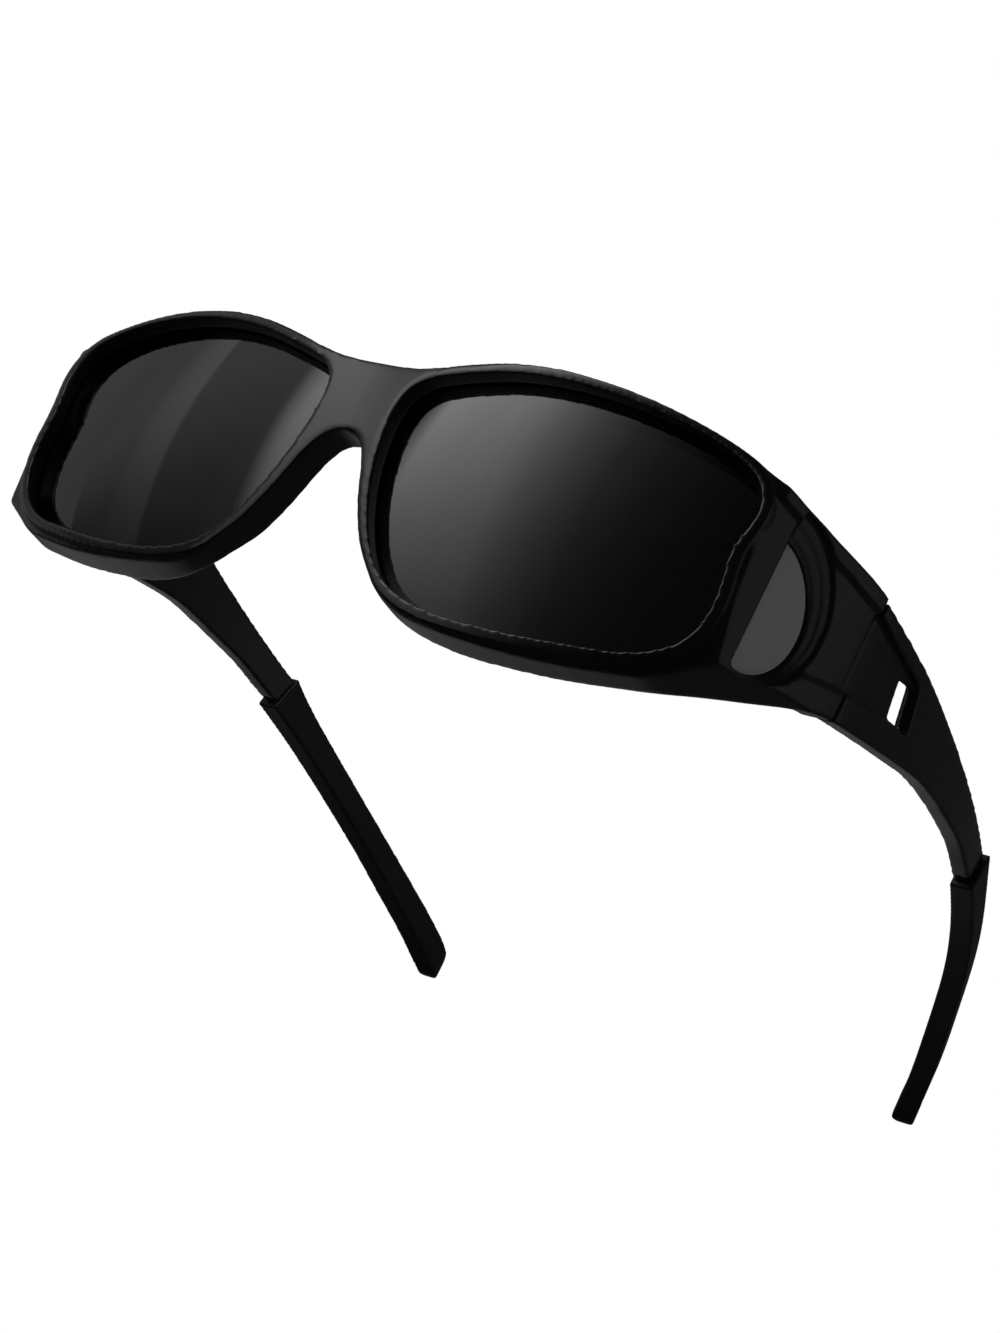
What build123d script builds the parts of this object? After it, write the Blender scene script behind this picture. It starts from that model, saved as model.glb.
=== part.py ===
from build123d import *
from math import hypot
import os

os.makedirs("parts", exist_ok=True)

# Overall sizes, in millimetres: X across, Y from the lenses back to the ears, Z up
half_width = 75.8
reach = 161.5
lens_height = 39.4

# Front surface: a bowl about a level line behind the face
bowl_radius = 100.0
bowl_level = 10.0

# Depths behind the front surface
shell_step = 0.8
lens_recess = 3.2
lens_thickness = 1.2

# Margins round the lens opening
lip_width = 1.7
bridge_edge = 11.8
groove_depth = 0.7
lens_gap = 0.1
lens_ledge = 0.8

# Walls
shield_wall = 2.4
shield_floor = 2.0
panel_depth = 0.8
seam_gap = 0.3

# Side window, a half moon at the foot of shallow steps
window_radius = 9.8
window_steps = 3
step_width = 1.1
step_depth = 0.3
step_rise = 0.8
step_drift = 0.3
side_lens_thickness = 0.8
side_lens_groove = 0.6
window_boss = 2.0
window_ledge = 0.4

# Arms and their sleeves
arm_thickness = 3.2
arm_recess = 1.4
vent_wall = 0.7
vent_relief = 1.5
tang_thickness = 1.8
tang_height = 2.6
sleeve_thickness = 4.3
sleeve_gap = 0.05

# Hinges
pad_margin = 0.3
pad_skin = 0.4
leaf_thickness = 0.8
leaf_height = 7.2
leaf_level = 3.6
leaf_stop = 1.5
front_leaf_length = 6.7
temple_leaf_length = 7.6
barrel_radius = 1.1
mid_barrel_height = 2.4
barrel_gap = 0.3
screw_radius = 0.6
running_gap = 0.03
screw_head_radius = 1.0
screw_head_height = 0.6
slot_width = 0.3
slot_depth = 0.3
slot_turn = 30
leaf_screw_radius = 0.5
leaf_screw_length = 2.2
leaf_screw_pitch = 3.8
leaf_screw_head_radius = 0.9
leaf_screw_head_height = 0.45
leaf_screw_turn = 45
screw_hole_gap = 0.05

# How far cutting shapes run past what they cut
overrun = 5.0

# Places on the pair: X as a share of half_width, Y of reach, Z of lens_height
seam_share = 0.2279
pad_share = 0.9235
window_shares = (0.8997, 0.0929, -0.0228)
wall_lean_shares = (0.05, 0.0867)

# Lens opening seen from the front: X shares of half_width, Z shares of lens_height
lens_outline_shares = [
    (0.857, 0.158), (0.836, 0.366), (0.741, 0.451), (0.633, 0.485), (0.524, 0.498),
    (0.416, 0.492), (0.307, 0.467), (0.201, 0.421), (0.108, 0.343), (0.093, 0.129),
    (0.115, -0.076), (0.158, -0.269), (0.228, -0.429), (0.330, -0.498), (0.439, -0.503),
    (0.548, -0.482), (0.656, -0.444), (0.761, -0.386), (0.836, -0.261), (0.854, -0.051),
]

# Brow and bottom edge of the shell seen from the front, in the same shares
shell_top_shares = [
    (0, 0.421), (0.066, 0.421), (0.125, 0.432), (0.190, 0.463), (0.276, 0.501), (0.360, 0.527),
    (0.487, 0.537), (0.612, 0.524), (0.712, 0.495), (0.792, 0.457), (0.851, 0.416), (0.901, 0.388),
    (0.963, 0.374), (1.055, 0.345),
]
shell_bottom_shares = [
    (0, 0.114), (0.029, 0.099), (0.055, 0.048), (0.078, -0.041), (0.098, -0.142), (0.121, -0.234),
    (0.153, -0.335), (0.185, -0.406), (0.224, -0.480), (0.277, -0.530), (0.344, -0.553),
    (0.435, -0.558), (0.528, -0.548), (0.633, -0.520), (0.720, -0.484), (0.785, -0.447),
    (0.842, -0.383), (0.892, -0.325), (0.935, -0.262), (1.055, -0.150),
]

# Hollow behind the outer half of the lens, in the same shares
hollow_top_shares = [
    (0.607, 0.482), (0.712, 0.449), (0.792, 0.411), (0.851, 0.371), (0.901, 0.340), (1.055, 0.310),
]
hollow_bottom_shares = [
    (1.055, -0.100), (0.935, -0.209), (0.892, -0.268), (0.842, -0.325), (0.785, -0.387),
    (0.720, -0.430), (0.633, -0.470),
]

# Plan curves: X shares of half_width, Y shares of reach
front_plan_shares = [
    (0, -0.0142), (0.132, -0.018), (0.264, -0.0217), (0.396, -0.0167), (0.528, -0.0034),
    (0.660, 0.0155), (0.792, 0.0375), (0.884, 0.0533), (1.003, 0.0755),
]
side_plan_shares = [
    (0.884, 0.0471), (0.916, 0.0991), (0.942, 0.1424), (0.966, 0.1858), (0.984, 0.2328),
    (0.995, 0.291), (1, 0.3777), (0.997, 0.4656), (0.983, 0.5529), (0.958, 0.6285),
    (0.918, 0.7059), (0.858, 0.7864),
]
rear_plan_shares = [
    (0, 0.0223), (0.079, 0.026), (0.145, 0.0334), (0.211, 0.0347), (0.303, 0.0471),
    (0.396, 0.0594), (0.567, 0.0743), (0.660, 0.0898), (0.752, 0.1146), (0.844, 0.1579),
    (0.910, 0.2043),
]
sleeve_plan_shares = [
    (0.975, 0.557), (0.954, 0.601), (0.931, 0.650), (0.876, 0.743), (0.798, 0.836),
    (0.724, 0.916), (0.680, 0.956),
]
sleeve_tip_share = (0.667, 0.9675)

# Side curves: Y shares of reach, Z shares of lens_height
arm_top_shares = [
    (0.186, 0.378), (0.221, 0.358), (0.255, 0.340), (0.310, 0.320), (0.375, 0.289), (0.435, 0.249),
    (0.481, 0.218), (0.529, 0.185), (0.578, 0.150), (0.627, 0.115),
]
arm_bottom_shares = [
    (0.186, -0.226), (0.226, -0.173), (0.254, -0.147), (0.306, -0.099), (0.363, -0.046),
    (0.406, -0.010), (0.449, 0.005), (0.505, 0.010), (0.553, 0.008), (0.598, -0.015), (0.616, -0.022),
]
panel_shares = [
    (0.030, 0.345), (0.138, 0.312), (0.189, 0.302), (0.227, 0.297), (0.257, 0.270),
    (0.296, 0.255), (0.325, 0.245), (0.3337, 0.225), (0.3457, 0.056), (0.303, 0.033), (0.266, -0.010),
    (0.230, -0.046), (0.194, -0.094), (0.167, -0.127), (0.139, -0.223), (0.112, -0.302),
    (0.030, -0.420),
]
shield_bottom_shares = [
    (0.040, -0.610), (0.056, -0.590), (0.074, -0.540), (0.094, -0.472), (0.116, -0.406),
    (0.137, -0.351), (0.159, -0.297), (0.181, -0.244), (0.208, -0.196), (0.240, -0.163),
]
vent_shares = [(0.3085, 0.205), (0.3325, 0.222), (0.3435, 0.066), (0.3165, 0.052)]
sleeve_bottom_shares = [
    (0.6155, -0.048), (0.650, -0.079), (0.694, -0.127), (0.743, -0.195), (0.793, -0.279),
    (0.836, -0.360), (0.879, -0.449), (0.916, -0.528), (0.940, -0.592), (0.954, -0.630),
]
sleeve_top_shares = [
    (0.6273, 0.137), (0.656, 0.081), (0.694, 0.020), (0.743, -0.058), (0.793, -0.147),
    (0.836, -0.228), (0.879, -0.310), (0.916, -0.386), (0.944, -0.455), (0.962, -0.525),
    (0.969, -0.585),
]
sleeve_end_share = (0.9655, -0.634)
tang_side_shares = [
    (0.585, 0.055), (0.650, 0.001), (0.694, -0.054), (0.743, -0.127), (0.793, -0.213), (0.836, -0.294),
    (0.879, -0.380),
]

# Lengths worked out from the sizes above
tall = lens_height
wide = half_width + overrun
seam_y = seam_share * reach
shallow = seam_y - seam_gap / 2
pad_x = pad_share * half_width
hinge_x = pad_x - barrel_radius
leaf_half = leaf_height / 2
end_barrel_height = (leaf_height - mid_barrel_height) / 2 - barrel_gap
opened_depth = window_steps * step_depth


def front_points(shares):
    """Points of a front view, across and up."""
    return [(a * half_width, b * lens_height) for a, b in shares]


def plan_points(shares, inset=0):
    """Points of a view from above, across and back, moved in by the inset."""
    return [(a * half_width - inset, b * reach) for a, b in shares]


def side_points(shares, lift=0):
    """Points of a side view, back and up, moved up by the lift."""
    return [(a * reach, b * lens_height + lift) for a, b in shares]


def bowl(depth):
    """Everything behind the front surface once that is moved back by the depth."""
    half = [(x, bowl_radius - y - depth) for x, y in plan_points(front_plan_shares)]
    rim = both_sides(half)
    with BuildPart() as solid:
        with BuildSketch(Plane((0, bowl_radius, bowl_level), x_dir=(1, 0, 0), z_dir=(0, 0, 1))):
            with BuildLine():
                Spline(*rim)
                Polyline(rim[-1], (rim[-1][0], 0), (rim[0][0], 0), rim[0])
            make_face()
        revolve(axis=Axis((0, bowl_radius, bowl_level), (1, 0, 0)))
    return solid.part


def front_prism(outline):
    """A front view outline run back past the seam."""
    with BuildPart() as solid:
        with BuildSketch(Plane.XZ.offset(overrun)):
            with BuildLine():
                outline()
            make_face()
        extrude(amount=-(2 * overrun + seam_y))
    return solid.part


def plan_prism(outline):
    """A plan view outline run through the full height."""
    with BuildPart() as solid:
        with BuildSketch(Plane.XY.offset(-tall)):
            with BuildLine():
                outline()
            make_face()
        extrude(amount=2 * tall)
    return solid.part


def side_prism(outline):
    """A side view outline run out past the arm."""
    with BuildPart() as solid:
        with BuildSketch(Plane.YZ):
            with BuildLine():
                outline()
            make_face()
        extrude(amount=wide)
    return solid.part


def grown(ring, margin):
    """A ring of points, each moved out square to the line between its neighbours."""
    moved = []
    for i, (x, y) in enumerate(ring):
        before = ring[i - 1]
        after = ring[(i + 1) % len(ring)]
        run = after[0] - before[0]
        rise = after[1] - before[1]
        span = hypot(run, rise)
        moved.append((x + margin * rise / span, y - margin * run / span))
    return moved


def lens_outline(margin):
    """The lens opening, grown by the margin."""
    def outline():
        Spline(*grown(front_points(lens_outline_shares), margin), periodic=True)
    return outline


def both_sides(points):
    """Points that start on the symmetry plane, joined to their mirror image, left to right."""
    return [(-x, y) for x, y in reversed(points[1:])] + points


def shell_outline():
    """Both halves at once, so that the curves run level across the symmetry plane."""
    top = both_sides(front_points(shell_top_shares))
    bottom = both_sides(front_points(shell_bottom_shares))
    Spline(*top)
    Line(top[-1], bottom[-1])
    Spline(*bottom)
    Line(bottom[0], top[0])


def hollow_outline():
    top = front_points(hollow_top_shares)
    bottom = front_points(hollow_bottom_shares)
    Spline(*top)
    Line(top[-1], bottom[0])
    Spline(*bottom)
    Line(bottom[-1], top[0])


def wall_strip(shares, outer, inner):
    """Outline between two insets of a plan curve."""
    def outline():
        near = plan_points(shares, outer)
        far = plan_points(shares, inner)
        Spline(*near)
        Line(near[-1], far[-1])
        Spline(*far)
        Line(far[0], near[0])
    return outline


def inside_wall(inset):
    """Outline of everything between the symmetry plane and the side wall."""
    def outline():
        curve = plan_points(side_plan_shares, inset)
        Spline(*curve)
        Polyline(curve[-1], (0, curve[-1][1]), (0, -overrun), (curve[0][0], -overrun), curve[0])
    return outline


def behind_rear():
    curve = plan_points(rear_plan_shares)
    Spline(*curve)
    Polyline(curve[-1], (hinge_x, seam_y + overrun), (0, seam_y + overrun), curve[0])


def below_shield(lift):
    """Everything lower than the shield's bottom edge, moved up by the lift."""
    def outline():
        curve = side_points(shield_bottom_shares, lift)
        Spline(*curve)
        Polyline(curve[-1], (curve[-1][0], -tall), (curve[0][0], -tall), curve[0])
    return outline


def panel_outline():
    curve = side_points(panel_shares)
    Polyline(*curve, close=True)


def vent_outline():
    Polyline(*side_points(vent_shares), close=True)


def relief_outline():
    """The thinned place round the vent, on the arm's inner face."""
    ring = side_points(vent_shares)
    Polyline(*grown(ring[::-1], vent_relief), close=True)


def arm_outline():
    top = side_points(arm_top_shares)
    bottom = side_points(arm_bottom_shares)
    Spline(*top)
    Line(top[-1], bottom[-1])
    Spline(*bottom)
    Line(bottom[0], top[0])


def mouth_outline():
    """Everything behind the sleeve's mouth, less the gap there."""
    low = side_points(sleeve_bottom_shares)[0]
    high = side_points(sleeve_top_shares)[0]
    lean = (high[0] - low[0]) / (high[1] - low[1])
    foot = (low[0] - lean * tall - sleeve_gap, low[1] - tall)
    head = (high[0] + lean * tall - sleeve_gap, high[1] + tall)
    Polyline(foot, head, (head[0] + reach, head[1]), (foot[0] + reach, foot[1]), close=True)


def sleeve_outline():
    top = side_points(sleeve_top_shares)
    bottom = side_points(sleeve_bottom_shares)
    tip = (sleeve_end_share[0] * reach, sleeve_end_share[1] * lens_height)
    Spline(*top)
    ThreePointArc(top[-1], tip, bottom[-1])
    Spline(*bottom)
    Line(bottom[0], top[0])


def sleeve_plan_outline():
    """The sleeve from above, round at its end."""
    outer = plan_points(sleeve_plan_shares, -sleeve_thickness / 2)
    inner = plan_points(sleeve_plan_shares, sleeve_thickness / 2)
    tip = plan_points([sleeve_tip_share])[0]
    Spline(*outer)
    ThreePointArc(outer[-1], tip, inner[-1])
    Spline(*inner)
    Line(inner[0], outer[0])


def tang_outline(grow):
    """Side view of the arm's tang, grown all round."""
    def outline():
        half = tang_height / 2 + grow
        top = side_points(tang_side_shares, half)
        bottom = side_points(tang_side_shares, -half)
        Spline(*top)
        Line(top[-1], bottom[-1])
        Spline(*bottom)
        Line(bottom[0], top[0])
    return outline


def half_moon(radius, along, up):
    """The rear half of a disc against the window's upright front edge."""
    with BuildSketch() as shape:
        with Locations((along, up)):
            Circle(radius)
        with Locations((-wide, 0)):
            Rectangle(2 * wide, 2 * wide, mode=Mode.SUBTRACT)
    return shape.sketch


lip_bowl = bowl(0)
shell_bowl = bowl(shell_step)
lens_bowl = bowl(lens_recess)
lens_back_bowl = bowl(lens_recess + lens_thickness)
groove_back_bowl = bowl(lens_recess + lens_thickness + lens_gap)
skin_bowl = bowl(lens_recess + lens_thickness + lens_gap + lens_ledge)
across, along, up = window_shares
drift, run = wall_lean_shares
window_plane = Plane(
    (across * half_width, along * reach, up * lens_height),
    x_dir=(drift * half_width, run * reach, 0),
    z_dir=(run * reach, -drift * half_width, 0),
)

# Blanks of the left half of the front
with BuildPart() as step_blank:
    with BuildSketch(Plane.XZ.offset(overrun)):
        with Locations((bridge_edge, 0)):
            Rectangle(wide, 2 * tall, align=(Align.MIN, Align.CENTER))
    extrude(amount=-(2 * overrun + seam_y))
    add(front_prism(lens_outline(lip_width)), mode=Mode.SUBTRACT)
    add(shell_bowl, mode=Mode.SUBTRACT)

with BuildPart() as hollow_blank:
    add(front_prism(hollow_outline))
    add(skin_bowl, mode=Mode.INTERSECT)
    add(plan_prism(inside_wall(shield_wall)), mode=Mode.INTERSECT)
    add(side_prism(below_shield(shield_floor)), mode=Mode.SUBTRACT)

with BuildPart() as groove_blank:
    add(front_prism(lens_outline(groove_depth)))
    add(lens_bowl, mode=Mode.INTERSECT)
    add(groove_back_bowl, mode=Mode.SUBTRACT)

with BuildPart() as panel_blank:
    add(side_prism(panel_outline))
    add(plan_prism(wall_strip(side_plan_shares, -overrun, panel_depth)), mode=Mode.INTERSECT)
    add(front_prism(lens_outline(lip_width)), mode=Mode.SUBTRACT)

with BuildPart() as front_pad_blank:
    with BuildSketch(Plane.YZ.offset(pad_x)):
        with Locations((seam_y - leaf_stop, leaf_level)):
            Rectangle(front_leaf_length + pad_margin, leaf_height + 2 * pad_margin,
                      align=(Align.MAX, Align.CENTER))
    extrude(amount=overrun)
    add(plan_prism(inside_wall(panel_depth + pad_skin)), mode=Mode.INTERSECT)

with BuildPart() as front_half:
    add(front_prism(shell_outline))
    add(lip_bowl, mode=Mode.INTERSECT)
    add(plan_prism(inside_wall(0)), mode=Mode.INTERSECT)
    with BuildSketch(Plane.XZ.offset(-shallow)):
        Rectangle(4 * wide, 4 * tall)
    extrude(amount=-overrun * 2, mode=Mode.SUBTRACT)
    add(plan_prism(behind_rear), mode=Mode.SUBTRACT)
    add(side_prism(below_shield(0)), mode=Mode.SUBTRACT)
    add(step_blank.part, mode=Mode.SUBTRACT)
    add(front_prism(lens_outline(0)), mode=Mode.SUBTRACT)
    add(groove_blank.part, mode=Mode.SUBTRACT)
    add(hollow_blank.part, mode=Mode.SUBTRACT)
    add(panel_blank.part, mode=Mode.SUBTRACT)
    with BuildSketch(window_plane.offset(-opened_depth - side_lens_thickness - window_ledge)):
        add(half_moon(window_radius + window_boss, 0, 0))
    extrude(amount=side_lens_thickness + window_ledge)
    with BuildSketch(window_plane.offset(-opened_depth)):
        add(half_moon(window_radius, 0, 0))
    extrude(amount=2 * overrun, both=True, mode=Mode.SUBTRACT)
    for step in range(window_steps):
        with BuildSketch(window_plane.offset(-step_depth * (window_steps - step))):
            add(half_moon(window_radius + step_width * (step + 1),
                          step_drift * (step + 1), step_rise * (step + 1)))
        extrude(amount=overrun, mode=Mode.SUBTRACT)
    with BuildSketch(window_plane.offset(-opened_depth - side_lens_thickness - lens_gap)):
        add(half_moon(window_radius + side_lens_groove, 0, 0))
    extrude(amount=side_lens_thickness + lens_gap, mode=Mode.SUBTRACT)
    # Pad and screw holes for the hinge leaf
    add(front_pad_blank.part)
    with BuildSketch(Plane.YZ.offset(pad_x)):
        with Locations((seam_y - leaf_stop - front_leaf_length / 2, leaf_level)):
            with GridLocations(0, leaf_screw_pitch, 1, 2):
                Circle(leaf_screw_radius + screw_hole_gap)
    extrude(amount=leaf_screw_length - leaf_thickness + screw_hole_gap, mode=Mode.SUBTRACT)

with BuildPart() as front_frame:
    add(front_half.part)
    mirror(about=Plane.YZ)

# Lenses
with BuildPart() as left_lens:
    add(front_prism(lens_outline(groove_depth - lens_gap)))
    add(lens_bowl, mode=Mode.INTERSECT)
    add(lens_back_bowl, mode=Mode.SUBTRACT)

with BuildPart() as left_side_lens:
    with BuildSketch(window_plane.offset(-opened_depth - side_lens_thickness - lens_gap / 2)):
        add(half_moon(window_radius + side_lens_groove - lens_gap, 0, 0))
        Rectangle(2 * lens_gap, 4 * window_radius, mode=Mode.SUBTRACT)
    extrude(amount=side_lens_thickness)

# Arms
with BuildPart() as recess_blank:
    add(side_prism(panel_outline))
    add(plan_prism(wall_strip(side_plan_shares, -overrun, arm_recess)), mode=Mode.INTERSECT)

with BuildPart() as relief_blank:
    add(side_prism(relief_outline))
    add(plan_prism(wall_strip(side_plan_shares, arm_recess + vent_wall, arm_thickness + overrun)),
        mode=Mode.INTERSECT)

with BuildPart() as tang_blank:
    add(side_prism(tang_outline(0)))
    add(plan_prism(wall_strip(sleeve_plan_shares, -tang_thickness / 2, tang_thickness / 2)),
        mode=Mode.INTERSECT)

with BuildPart() as tang_hole:
    add(side_prism(tang_outline(sleeve_gap)))
    add(plan_prism(wall_strip(sleeve_plan_shares, -tang_thickness / 2 - sleeve_gap,
                              tang_thickness / 2 + sleeve_gap)), mode=Mode.INTERSECT)

with BuildPart() as temple_pad_blank:
    with BuildSketch(Plane.YZ.offset(pad_x)):
        with Locations((seam_y + leaf_stop, leaf_level)):
            Rectangle(temple_leaf_length + pad_margin, leaf_height + 2 * pad_margin,
                      align=(Align.MIN, Align.CENTER))
    extrude(amount=overrun)
    add(plan_prism(inside_wall(arm_recess + pad_skin)), mode=Mode.INTERSECT)

with BuildPart() as left_temple:
    add(side_prism(arm_outline))
    add(plan_prism(wall_strip(side_plan_shares, 0, arm_thickness)), mode=Mode.INTERSECT)
    with BuildSketch(Plane.XZ.offset(-seam_y - seam_gap / 2)):
        Rectangle(4 * wide, 4 * tall)
    extrude(amount=seam_y, mode=Mode.SUBTRACT)
    add(recess_blank.part, mode=Mode.SUBTRACT)
    add(side_prism(vent_outline), mode=Mode.SUBTRACT)
    add(relief_blank.part, mode=Mode.SUBTRACT)
    add(side_prism(mouth_outline), mode=Mode.SUBTRACT)
    add(tang_blank.part)
    add(temple_pad_blank.part)
    with BuildSketch(Plane.YZ.offset(pad_x)):
        with Locations((seam_y + leaf_stop + temple_leaf_length / 2, leaf_level)):
            with GridLocations(0, leaf_screw_pitch, 1, 2):
                Circle(leaf_screw_radius + screw_hole_gap)
    extrude(amount=leaf_screw_length - leaf_thickness + screw_hole_gap, mode=Mode.SUBTRACT)

with BuildPart() as left_temple_tip:
    add(side_prism(sleeve_outline))
    add(plan_prism(sleeve_plan_outline), mode=Mode.INTERSECT)
    add(tang_hole.part, mode=Mode.SUBTRACT)


def leaf_screws(centre_y):
    """Two small screws that hold one hinge leaf against its pad."""
    with BuildPart() as screws:
        with BuildSketch(Plane.YZ.offset(pad_x - leaf_thickness)):
            with Locations((centre_y, leaf_level)):
                with GridLocations(0, leaf_screw_pitch, 1, 2):
                    Circle(leaf_screw_radius)
        extrude(amount=leaf_screw_length)
        with BuildSketch(Plane.YZ.offset(pad_x - leaf_thickness - leaf_screw_head_height)):
            with Locations((centre_y, leaf_level)):
                with GridLocations(0, leaf_screw_pitch, 1, 2):
                    Circle(leaf_screw_head_radius)
        extrude(amount=leaf_screw_head_height)
        with BuildSketch(Plane.YZ.offset(pad_x - leaf_thickness - leaf_screw_head_height)):
            with Locations((centre_y, leaf_level)):
                with GridLocations(0, leaf_screw_pitch, 1, 2):
                    Rectangle(4 * leaf_screw_head_radius, slot_width, rotation=leaf_screw_turn)
        extrude(amount=leaf_screw_head_height / 2, mode=Mode.SUBTRACT)
    return screws.part


# Hinge leaves, each a plate with its barrels on the screw's axis
end_barrels = [
    leaf_level - leaf_half,
    leaf_level + leaf_half - end_barrel_height,
]
front_leaf_y = seam_y - leaf_stop - front_leaf_length / 2
temple_leaf_y = seam_y + leaf_stop + temple_leaf_length / 2

with BuildPart() as left_hinge_front_leaf:
    with BuildSketch(Plane.YZ.offset(pad_x - leaf_thickness)):
        with Locations((front_leaf_y, leaf_level)):
            Rectangle(front_leaf_length, leaf_height)
    extrude(amount=leaf_thickness)
    for foot in end_barrels:
        with BuildSketch(Plane.XY.offset(foot)):
            with Locations((hinge_x, seam_y)):
                Circle(barrel_radius)
            with Locations((pad_x, seam_y)):
                Rectangle(leaf_thickness, leaf_stop + leaf_thickness, align=(Align.MAX, Align.MAX))
        extrude(amount=end_barrel_height)
    with BuildSketch(Plane.XY.offset(leaf_level - leaf_half)):
        with Locations((hinge_x, seam_y)):
            Circle(screw_radius + running_gap)
    extrude(amount=leaf_height, mode=Mode.SUBTRACT)
    with BuildSketch(Plane.YZ.offset(pad_x)):
        with Locations((front_leaf_y, leaf_level)):
            with GridLocations(0, leaf_screw_pitch, 1, 2):
                Circle(leaf_screw_radius + screw_hole_gap)
    extrude(amount=-leaf_thickness, mode=Mode.SUBTRACT)

with BuildPart() as left_hinge_temple_leaf:
    with BuildSketch(Plane.YZ.offset(pad_x - leaf_thickness)):
        with Locations((temple_leaf_y, leaf_level)):
            Rectangle(temple_leaf_length, leaf_height)
    extrude(amount=leaf_thickness)
    with BuildSketch(Plane.XY.offset(leaf_level - mid_barrel_height / 2)):
        with Locations((hinge_x, seam_y)):
            Circle(barrel_radius)
        with Locations((pad_x, seam_y)):
            Rectangle(leaf_thickness, leaf_stop + leaf_thickness, align=(Align.MAX, Align.MIN))
    extrude(amount=mid_barrel_height)
    with BuildSketch(Plane.XY.offset(leaf_level - leaf_half)):
        with Locations((hinge_x, seam_y)):
            Circle(screw_radius + running_gap)
    extrude(amount=leaf_height, mode=Mode.SUBTRACT)
    with BuildSketch(Plane.YZ.offset(pad_x)):
        with Locations((temple_leaf_y, leaf_level)):
            with GridLocations(0, leaf_screw_pitch, 1, 2):
                Circle(leaf_screw_radius + screw_hole_gap)
    extrude(amount=-leaf_thickness, mode=Mode.SUBTRACT)

with BuildPart() as left_hinge_screw:
    with BuildSketch(Plane.XY.offset(leaf_level - leaf_half)):
        with Locations((hinge_x, seam_y)):
            Circle(screw_radius)
    extrude(amount=leaf_height)
    with BuildSketch(Plane.XY.offset(leaf_level + leaf_half)):
        with Locations((hinge_x, seam_y)):
            Circle(screw_head_radius)
    extrude(amount=screw_head_height)
    with BuildSketch(Plane.XY.offset(leaf_level + leaf_half + screw_head_height - slot_depth)):
        with Locations((hinge_x, seam_y)):
            Rectangle(4 * screw_head_radius, slot_width, rotation=slot_turn)
    extrude(amount=overrun, mode=Mode.SUBTRACT)

left_front_leaf_screws = leaf_screws(front_leaf_y)
left_temple_leaf_screws = leaf_screws(temple_leaf_y)

left_parts = {
    "lens": left_lens.part,
    "side_lens": left_side_lens.part,
    "temple": left_temple.part,
    "temple_tip": left_temple_tip.part,
    "hinge_front_leaf": left_hinge_front_leaf.part,
    "hinge_temple_leaf": left_hinge_temple_leaf.part,
    "hinge_screw": left_hinge_screw.part,
    "front_leaf_screws": left_front_leaf_screws,
    "temple_leaf_screws": left_temple_leaf_screws,
}
parts = {"front_frame": front_frame.part}
for name, piece in left_parts.items():
    parts["left_" + name] = piece
    parts["right_" + name] = mirror(piece, about=Plane.YZ)

# The origin goes to the middle of the base of the whole pair
boxes = [piece.bounding_box() for piece in parts.values()]
base = min(box.min.Z for box in boxes)
front = min(box.min.Y for box in boxes)
back = max(box.max.Y for box in boxes)
home = Location((0, -(front + back) / 2, -base))
for name, piece in parts.items():
    placed = piece.moved(home)
    placed.label = name
    export_step(placed, "parts/" + name + ".step")
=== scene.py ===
import bpy
from mathutils import Matrix, Vector


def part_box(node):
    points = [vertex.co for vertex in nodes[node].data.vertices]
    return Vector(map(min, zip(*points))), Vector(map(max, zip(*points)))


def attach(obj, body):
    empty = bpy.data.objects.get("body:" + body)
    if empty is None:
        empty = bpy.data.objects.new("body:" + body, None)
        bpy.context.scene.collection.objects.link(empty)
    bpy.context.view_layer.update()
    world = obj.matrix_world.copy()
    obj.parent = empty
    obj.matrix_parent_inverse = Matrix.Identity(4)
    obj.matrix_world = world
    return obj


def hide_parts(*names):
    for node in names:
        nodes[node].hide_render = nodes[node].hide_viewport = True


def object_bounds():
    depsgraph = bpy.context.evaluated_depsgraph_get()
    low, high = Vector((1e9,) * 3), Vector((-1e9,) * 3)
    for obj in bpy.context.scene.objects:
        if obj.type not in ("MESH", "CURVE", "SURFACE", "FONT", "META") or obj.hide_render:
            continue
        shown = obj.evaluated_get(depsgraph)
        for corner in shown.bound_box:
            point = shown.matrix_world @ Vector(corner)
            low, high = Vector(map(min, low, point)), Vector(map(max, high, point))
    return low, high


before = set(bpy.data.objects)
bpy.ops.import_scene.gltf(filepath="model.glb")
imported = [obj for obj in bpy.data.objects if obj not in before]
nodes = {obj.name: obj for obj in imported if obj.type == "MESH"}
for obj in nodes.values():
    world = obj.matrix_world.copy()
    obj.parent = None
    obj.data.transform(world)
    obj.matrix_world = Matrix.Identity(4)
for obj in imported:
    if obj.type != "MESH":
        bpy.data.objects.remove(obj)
cad_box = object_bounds()
scene = bpy.context.scene

# Camera, fitted to the photograph: its axes, and its place from the middle of the left hinge screw (metres)
FILM_MM = 36.0
PHOTO_HEIGHT = 1333
FOCAL_PIXELS = 3400
CAMERA_RIGHT = Vector((0.808035, 0.404086, 0.428711))
CAMERA_DOWN = Vector((0.194672, 0.503683, -0.841669))
CAMERA_AHEAD = Vector((-0.556041, 0.763556, 0.328329))
CAMERA_FROM_HINGE = Vector((0.237699, -0.397806, -0.185400))
NEAR_CLIP, FAR_CLIP = 0.01, 50

# Grain of the materials: the part of the noise's range that is used, and its usual scales and depth
NOISE_LOW, NOISE_HIGH = 0.3, 0.7
BROAD_SCALE, BROAD_DETAIL = 60, 3.0
FINE_DETAIL = 4.0
HAZE_SCALE, HAZE_DETAIL = 35, 2.0
BUMP_STRENGTH = 0.4
MIRROR_ROUGHNESS = 0.03
SMOKE_SPREAD = 1.1

# Moulded pieces: the voxel that rounds their edges (metres) and the smoothing after it
HARD_VOXEL, HARD_PASSES = 0.0003, 10
FRONT_PASSES = 14
SOFT_VOXEL, SOFT_PASSES = 0.00025, 14
SMOOTHING = 0.5

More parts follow.
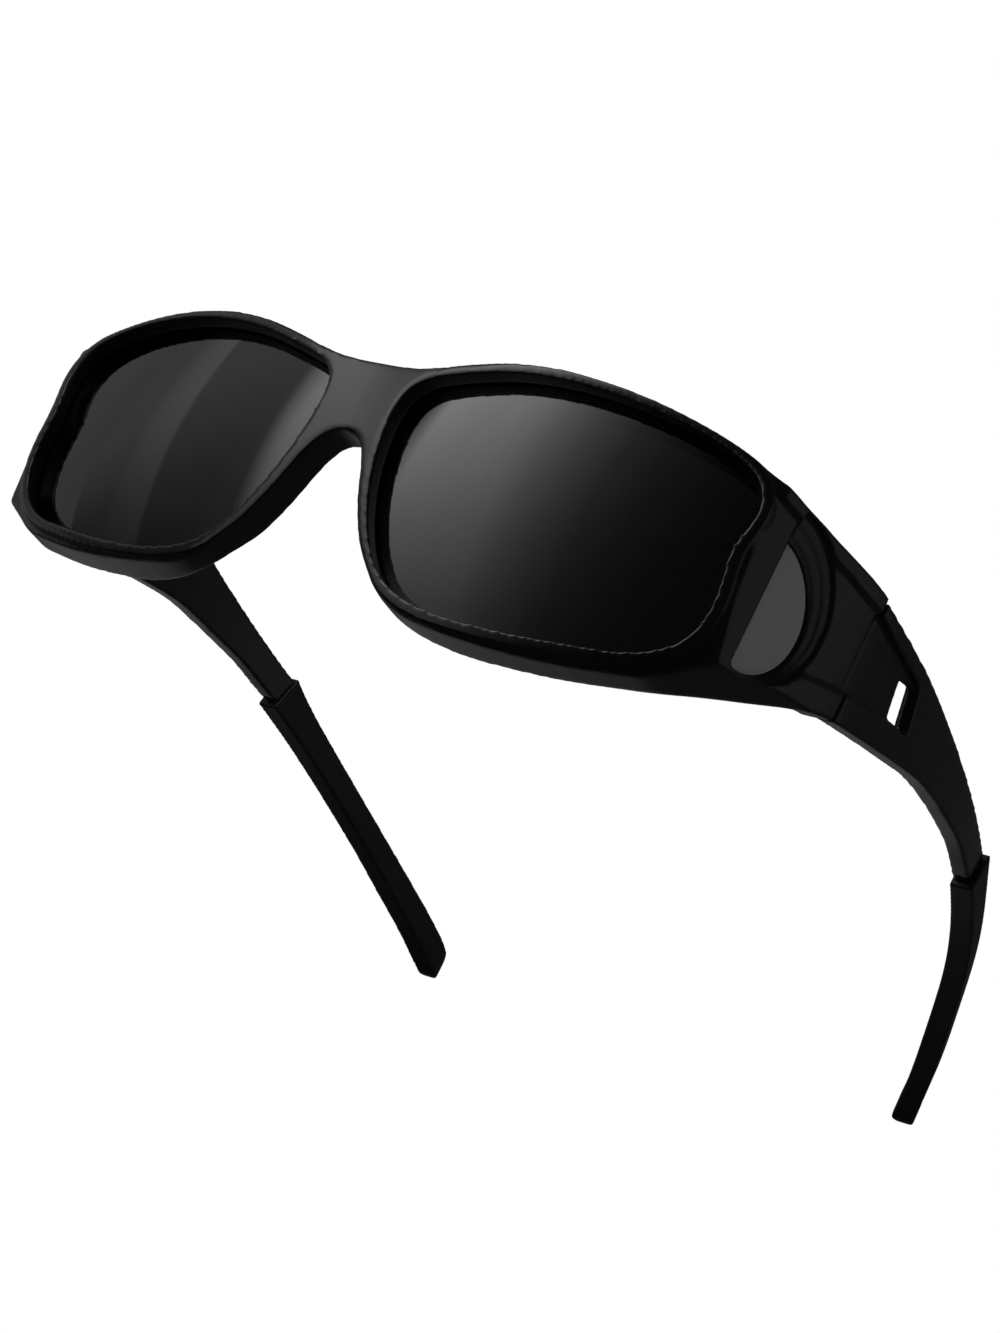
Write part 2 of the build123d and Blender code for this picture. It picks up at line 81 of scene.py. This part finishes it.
# Soft glows that glossy surfaces mirror: heading, the cosines at which each starts and is full,
# and its lowest and highest level
ROOM_GLOWS = [
    ((0, 1, 0), -0.2, 0.9, 0.02, 0.06),
    ((0.90, 0.30, 0.30), 0.86, 0.99, 0.0, 0.20),
    ((-0.55, 0.77, -0.33), 0.86, 0.99, 0.0, 0.15),
    ((-0.97, -0.15, 0.25), 0.75, 0.98, 0.0, 0.30),
]
ROOM_GREY, ROOM_LEVEL = 0.9, 0.35

FLOOR_HALF, FLOOR_DROP = 3.0, 0.0005
FLOOR_ROUGHNESS, FLOOR_GRAIN = 0.9, 3
FLOOR_DARK, FLOOR_LIGHT = 0.80, 0.84

# Graded card that the lenses mirror: its place before the left hinge screw, its sides and its strength,
# then its grey at lengths across and upward (metres)
CARD_BEFORE_HINGE = 0.0818
CARD_LEFT, CARD_RIGHT, CARD_LOW, CARD_HIGH = -0.300, 0.085, -0.070, 0.150
CARD_STRENGTH = 3.4
CARD_ACROSS = [
    (CARD_LEFT, 0.10), (-0.200, 0.12), (-0.126, 0.24), (-0.120, 0.14), (-0.045, 0.20), (-0.038, 0.98),
    (0.000, 0.92), (0.010, 0.80), (0.020, 0.50), (0.030, 0.27), (0.040, 0.11), (0.050, 0.045),
    (0.060, 0.015), (0.070, 0.0),
]
CARD_UPWARD = [
    (CARD_LOW, 0.18), (-0.025, 0.25), (0.0, 0.50), (0.020, 0.76), (0.045, 1.0), (CARD_HIGH, 1.0),
]

# Softboxes: name, place, what they point at, side (metres) and power (watts)
SOFTBOXES = [
    ("top_softbox", (0.0, -0.1, 0.9), (0, 0, 0), 0.8, 9),
    ("front_softbox", (-0.5, -0.9, 0.5), (0, 0, 0.02), 0.4, 5),
]


def make_camera():
    data = bpy.data.cameras.new("camera")
    data.sensor_width = FILM_MM
    data.lens = FILM_MM * FOCAL_PIXELS / PHOTO_HEIGHT
    data.clip_start, data.clip_end = NEAR_CLIP, FAR_CLIP
    camera = bpy.data.objects.new("camera", data)
    scene.collection.objects.link(camera)
    turn = Matrix((CAMERA_RIGHT, -CAMERA_DOWN, -CAMERA_AHEAD)).transposed()
    low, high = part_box("left_hinge_screw")
    camera.matrix_world = Matrix.Translation((low + high) / 2 + CAMERA_FROM_HINGE) @ turn.to_4x4()
    scene.camera = camera


# Materials

def new_material(name):
    material = bpy.data.materials.new(name)
    material.use_nodes = True
    tree = material.node_tree
    tree.nodes.clear()
    return material, tree.nodes, tree.links


def grain(n, l, scale, detail=BROAD_DETAIL):
    """Noise in the object's own space."""
    place = n.new("ShaderNodeTexCoord")
    noise = n.new("ShaderNodeTexNoise")
    noise.inputs["Scale"].default_value = scale
    noise.inputs["Detail"].default_value = detail
    l.new(place.outputs["Object"], noise.inputs["Vector"])
    return noise.outputs["Fac"]


def set_range(node, from_min, from_max, to_min, to_max):
    names = ("From Min", "From Max", "To Min", "To Max")
    for name, value in zip(names, (from_min, from_max, to_min, to_max)):
        node.inputs[name].default_value = value


def spread(n, l, source, low, high):
    """Noise mapped to a range."""
    span = n.new("ShaderNodeMapRange")
    set_range(span, NOISE_LOW, NOISE_HIGH, low, high)
    l.new(source, span.inputs["Value"])
    return span.outputs["Result"]


def tint(n, l, source, dark, light):
    """Noise mapped to a colour between two."""
    ramp = n.new("ShaderNodeValToRGB")
    ends = zip(ramp.color_ramp.elements, ((NOISE_LOW, dark), (NOISE_HIGH, light)))
    for element, (position, colour) in ends:
        element.position = position
        element.color = (*colour, 1)
    l.new(source, ramp.inputs["Fac"])
    return ramp.outputs["Color"]


def bump(n, l, source, depth):
    node = n.new("ShaderNodeBump")
    node.inputs["Strength"].default_value = BUMP_STRENGTH
    node.inputs["Distance"].default_value = depth
    l.new(source, node.inputs["Height"])
    return node.outputs["Normal"]


def solid_material(name, dark, light, rough, specular, grain_scale, grain_depth, metal=0.0):
    material, n, l = new_material(name)
    shader = n.new("ShaderNodeBsdfPrincipled")
    out = n.new("ShaderNodeOutputMaterial")
    l.new(shader.outputs["BSDF"], out.inputs["Surface"])
    broad = grain(n, l, BROAD_SCALE)
    fine = grain(n, l, grain_scale, FINE_DETAIL)
    l.new(tint(n, l, broad, dark, light), shader.inputs["Base Color"])
    l.new(spread(n, l, broad, *rough), shader.inputs["Roughness"])
    l.new(bump(n, l, fine, grain_depth), shader.inputs["Normal"])
    shader.inputs["Specular IOR Level"].default_value = specular
    shader.inputs["Metallic"].default_value = metal
    return material


def tinted_material(name, dark, light, ior, smoke=0.0, body=0.1):
    """A tinted sheet: what is behind it shows through, and it mirrors its surroundings.
    Smoke is the share of it that is smoky rather than clear, and body the smoke's own grey."""
    material, n, l = new_material(name)
    out = n.new("ShaderNodeOutputMaterial")
    clear = n.new("ShaderNodeBsdfTransparent")
    mirror = n.new("ShaderNodeBsdfAnisotropic")
    mirror.inputs["Roughness"].default_value = MIRROR_ROUGHNESS
    mirror.inputs["Color"].default_value = (1, 1, 1, 1)
    edge = n.new("ShaderNodeFresnel")
    edge.inputs["IOR"].default_value = ior
    mix = n.new("ShaderNodeMixShader")
    haze = grain(n, l, HAZE_SCALE, HAZE_DETAIL)
    l.new(tint(n, l, haze, dark, light), clear.inputs["Color"])
    l.new(edge.outputs["Fac"], mix.inputs["Fac"])
    cloud = n.new("ShaderNodeBsdfDiffuse")
    body_dark, body_light = [body] * 3, [SMOKE_SPREAD * body] * 3
    l.new(tint(n, l, haze, body_dark, body_light), cloud.inputs["Color"])
    inside = n.new("ShaderNodeMixShader")
    inside.inputs["Fac"].default_value = smoke
    l.new(clear.outputs["BSDF"], inside.inputs[1])
    l.new(cloud.outputs["BSDF"], inside.inputs[2])
    l.new(inside.outputs["Shader"], mix.inputs[1])
    l.new(mirror.outputs["BSDF"], mix.inputs[2])
    l.new(mix.outputs["Shader"], out.inputs["Surface"])
    return material


def dress(material, *names):
    for name in names:
        mesh = nodes[name].data
        mesh.materials.clear()
        mesh.materials.append(material)


def both(*names):
    return [side + "_" + name for side in ("left", "right") for name in names]


# Pieces

def softened(name, body, material, voxel, passes):
    """A moulded piece: the CAD shape with its sharp edges softened, as they leave the mould."""
    piece = bpy.data.objects.new(name + "_moulded", nodes[name].data.copy())
    scene.collection.objects.link(piece)
    remesh = piece.modifiers.new("remesh", "REMESH")
    remesh.mode = "VOXEL"
    remesh.voxel_size = voxel
    remesh.use_smooth_shade = True
    smooth = piece.modifiers.new("smooth", "SMOOTH")
    smooth.factor = SMOOTHING
    smooth.iterations = passes
    solved = piece.evaluated_get(bpy.context.evaluated_depsgraph_get())
    piece.data = bpy.data.meshes.new_from_object(solved)
    piece.modifiers.clear()
    piece.data.materials.clear()
    piece.data.materials.append(material)
    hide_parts(name)
    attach(piece, body)
    return piece


# Studio

def add_glows(n, l, place):
    """The summed level of the room's glows in the direction looked at."""
    level = None
    for heading, *levels in ROOM_GLOWS:
        facing = n.new("ShaderNodeVectorMath")
        facing.operation = "DOT_PRODUCT"
        l.new(place, facing.inputs[0])
        facing.inputs[1].default_value = Vector(heading).normalized()
        glow = n.new("ShaderNodeMapRange")
        glow.interpolation_type = "SMOOTHSTEP"
        set_range(glow, *levels)
        l.new(facing.outputs["Value"], glow.inputs["Value"])
        if level is None:
            level = glow.outputs["Result"]
        else:
            added = n.new("ShaderNodeMath")
            l.new(level, added.inputs[0])
            l.new(glow.outputs["Result"], added.inputs[1])
            level = added.outputs[0]
    return level


def make_world():
    """White behind the pair, soft room light on it, and dim glows for glossy surfaces to mirror."""
    world = bpy.data.worlds.new("studio")
    world.use_nodes = True
    scene.world = world
    n, l = world.node_tree.nodes, world.node_tree.links
    n.clear()
    out = n.new("ShaderNodeOutputWorld")
    path = n.new("ShaderNodeLightPath")
    room = n.new("ShaderNodeBackground")
    room.inputs["Color"].default_value = (ROOM_GREY, ROOM_GREY, ROOM_GREY, 1)
    room.inputs["Strength"].default_value = ROOM_LEVEL
    white = n.new("ShaderNodeBackground")
    white.inputs["Color"].default_value = (1, 1, 1, 1)
    white.inputs["Strength"].default_value = 1.0
    seen = n.new("ShaderNodeMath")
    seen.operation = "MAXIMUM"
    l.new(path.outputs["Is Camera Ray"], seen.inputs[0])
    l.new(path.outputs["Is Transmission Ray"], seen.inputs[1])
    place = n.new("ShaderNodeTexCoord")
    mirrored = n.new("ShaderNodeBackground")
    mirrored.inputs["Color"].default_value = (1, 1, 1, 1)
    l.new(add_glows(n, l, place.outputs["Generated"]), mirrored.inputs["Strength"])
    glossy = n.new("ShaderNodeMixShader")
    l.new(path.outputs["Is Glossy Ray"], glossy.inputs["Fac"])
    l.new(room.outputs["Background"], glossy.inputs[1])
    l.new(mirrored.outputs["Background"], glossy.inputs[2])
    mix = n.new("ShaderNodeMixShader")
    l.new(seen.outputs[0], mix.inputs["Fac"])
    l.new(glossy.outputs["Shader"], mix.inputs[1])
    l.new(white.outputs["Background"], mix.inputs[2])
    l.new(mix.outputs["Shader"], out.inputs["Surface"])


def sheet(name, corners):
    mesh = bpy.data.meshes.new(name)
    mesh.from_pydata(corners, [], [(0, 1, 2, 3)])
    piece = bpy.data.objects.new(name, mesh)
    scene.collection.objects.link(piece)
    return piece


def make_floor():
    """A pale floor under the pair. Its underside is clear, because the camera looks up from below it."""
    r = FLOOR_HALF
    floor = sheet("floor", [(-r, -r, 0), (r, -r, 0), (r, r, 0), (-r, r, 0)])
    floor.location.z = cad_box[0].z - FLOOR_DROP
    floor.visible_glossy = False
    material, n, l = new_material("floor_paint")
    out = n.new("ShaderNodeOutputMaterial")
    paint = n.new("ShaderNodeBsdfPrincipled")
    paint.inputs["Roughness"].default_value = FLOOR_ROUGHNESS
    colour = tint(n, l, grain(n, l, FLOOR_GRAIN), [FLOOR_DARK] * 3, [FLOOR_LIGHT] * 3)
    l.new(colour, paint.inputs["Base Color"])
    clear = n.new("ShaderNodeBsdfTransparent")
    side = n.new("ShaderNodeNewGeometry")
    mix = n.new("ShaderNodeMixShader")
    l.new(side.outputs["Backfacing"], mix.inputs["Fac"])
    l.new(paint.outputs["BSDF"], mix.inputs[1])
    l.new(clear.outputs["BSDF"], mix.inputs[2])
    l.new(mix.outputs["Shader"], out.inputs["Surface"])
    floor.data.materials.append(material)


def ramp_of(n, l, source, low, high, stops):
    """A ramp over a range of lengths; each stop is a length and a grey."""
    span = n.new("ShaderNodeMapRange")
    span.inputs["From Min"].default_value = low
    span.inputs["From Max"].default_value = high
    l.new(source, span.inputs["Value"])
    ramp = n.new("ShaderNodeValToRGB")
    elements = ramp.color_ramp.elements
    while len(elements) < len(stops):
        elements.new(0.5)
    for element, (length, grey) in zip(elements, stops):
        element.position = (length - low) / (high - low)
        element.color = (grey, grey, grey, 1)
    l.new(span.outputs["Result"], ramp.inputs["Fac"])
    return ramp.outputs["Color"]


def make_card():
    """A graded bounce card before the lenses, which only mirrors see."""
    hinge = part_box("left_hinge_screw")[0]
    card = sheet("bounce_card", [
        (CARD_LEFT, 0, CARD_LOW), (CARD_RIGHT, 0, CARD_LOW),
        (CARD_RIGHT, 0, CARD_HIGH), (CARD_LEFT, 0, CARD_HIGH),
    ])
    card.location = (0, hinge.y - CARD_BEFORE_HINGE, hinge.z)
    material, n, l = new_material("graded_card")
    out = n.new("ShaderNodeOutputMaterial")
    glow = n.new("ShaderNodeEmission")
    place = n.new("ShaderNodeTexCoord")
    apart = n.new("ShaderNodeSeparateXYZ")
    l.new(place.outputs["Object"], apart.inputs[0])
    level = n.new("ShaderNodeMix")
    level.data_type = "RGBA"
    level.blend_type = "MULTIPLY"
    level.inputs["Factor"].default_value = 1.0
    across = ramp_of(n, l, apart.outputs["X"], CARD_LEFT, CARD_RIGHT, CARD_ACROSS)
    upward = ramp_of(n, l, apart.outputs["Z"], CARD_LOW, CARD_HIGH, CARD_UPWARD)
    l.new(across, level.inputs["A"])
    l.new(upward, level.inputs["B"])
    l.new(level.outputs["Result"], glow.inputs["Color"])
    glow.inputs["Strength"].default_value = CARD_STRENGTH
    l.new(glow.outputs["Emission"], out.inputs["Surface"])
    card.data.materials.append(material)
    card.visible_camera = False
    card.visible_diffuse = False
    card.visible_transmission = False
    card.visible_shadow = False
    card.visible_volume_scatter = False


def make_light(name, place, target, size, power):
    """A square softbox that mirrors don't see."""
    data = bpy.data.lights.new(name, "AREA")
    data.shape = "RECTANGLE"
    data.size, data.size_y = size, size
    data.energy = power
    light = bpy.data.objects.new(name, data)
    scene.collection.objects.link(light)
    light.location = place
    light.visible_glossy = False
    light.rotation_mode = "QUATERNION"
    light.rotation_quaternion = (Vector(target) - Vector(place)).to_track_quat("-Z", "Y")


make_camera()

plastic = solid_material("satin_plastic", dark=(0.0012, 0.0012, 0.0014), light=(0.0018, 0.0018, 0.0020),
                         rough=(0.18, 0.24), specular=0.35, grain_scale=3500, grain_depth=0.00001)
rubber = solid_material("soft_rubber", dark=(0.0014, 0.0014, 0.0014), light=(0.0020, 0.0020, 0.0020),
                        rough=(0.46, 0.54), specular=0.30, grain_scale=6000, grain_depth=0.00002)
steel = solid_material("brushed_steel", dark=(0.50, 0.50, 0.52), light=(0.62, 0.62, 0.64),
                       rough=(0.25, 0.40), specular=0.5, grain_scale=2500, grain_depth=0.00001, metal=1.0)
front_tint = tinted_material("front_lens_tint", dark=(0.045, 0.045, 0.046), light=(0.050, 0.050, 0.051),
                             ior=1.5)
side_tint = tinted_material("side_lens_tint", dark=(0.26, 0.26, 0.27), light=(0.28, 0.28, 0.29),
                            ior=1.5, smoke=0.6, body=0.10)

dress(front_tint, *both("lens"))
dress(side_tint, *both("side_lens"))
dress(steel, *both("hinge_front_leaf", "hinge_temple_leaf", "hinge_screw",
                   "front_leaf_screws", "temple_leaf_screws"))

softened("front_frame", "front", plastic, HARD_VOXEL, FRONT_PASSES)
for side in ("left", "right"):
    softened(side + "_temple", side + "_arm", plastic, HARD_VOXEL, HARD_PASSES)
    softened(side + "_temple_tip", side + "_arm", rubber, SOFT_VOXEL, SOFT_PASSES)

make_world()
make_floor()
make_card()
for softbox in SOFTBOXES:
    make_light(*softbox)

scene.view_settings.view_transform = "Standard"
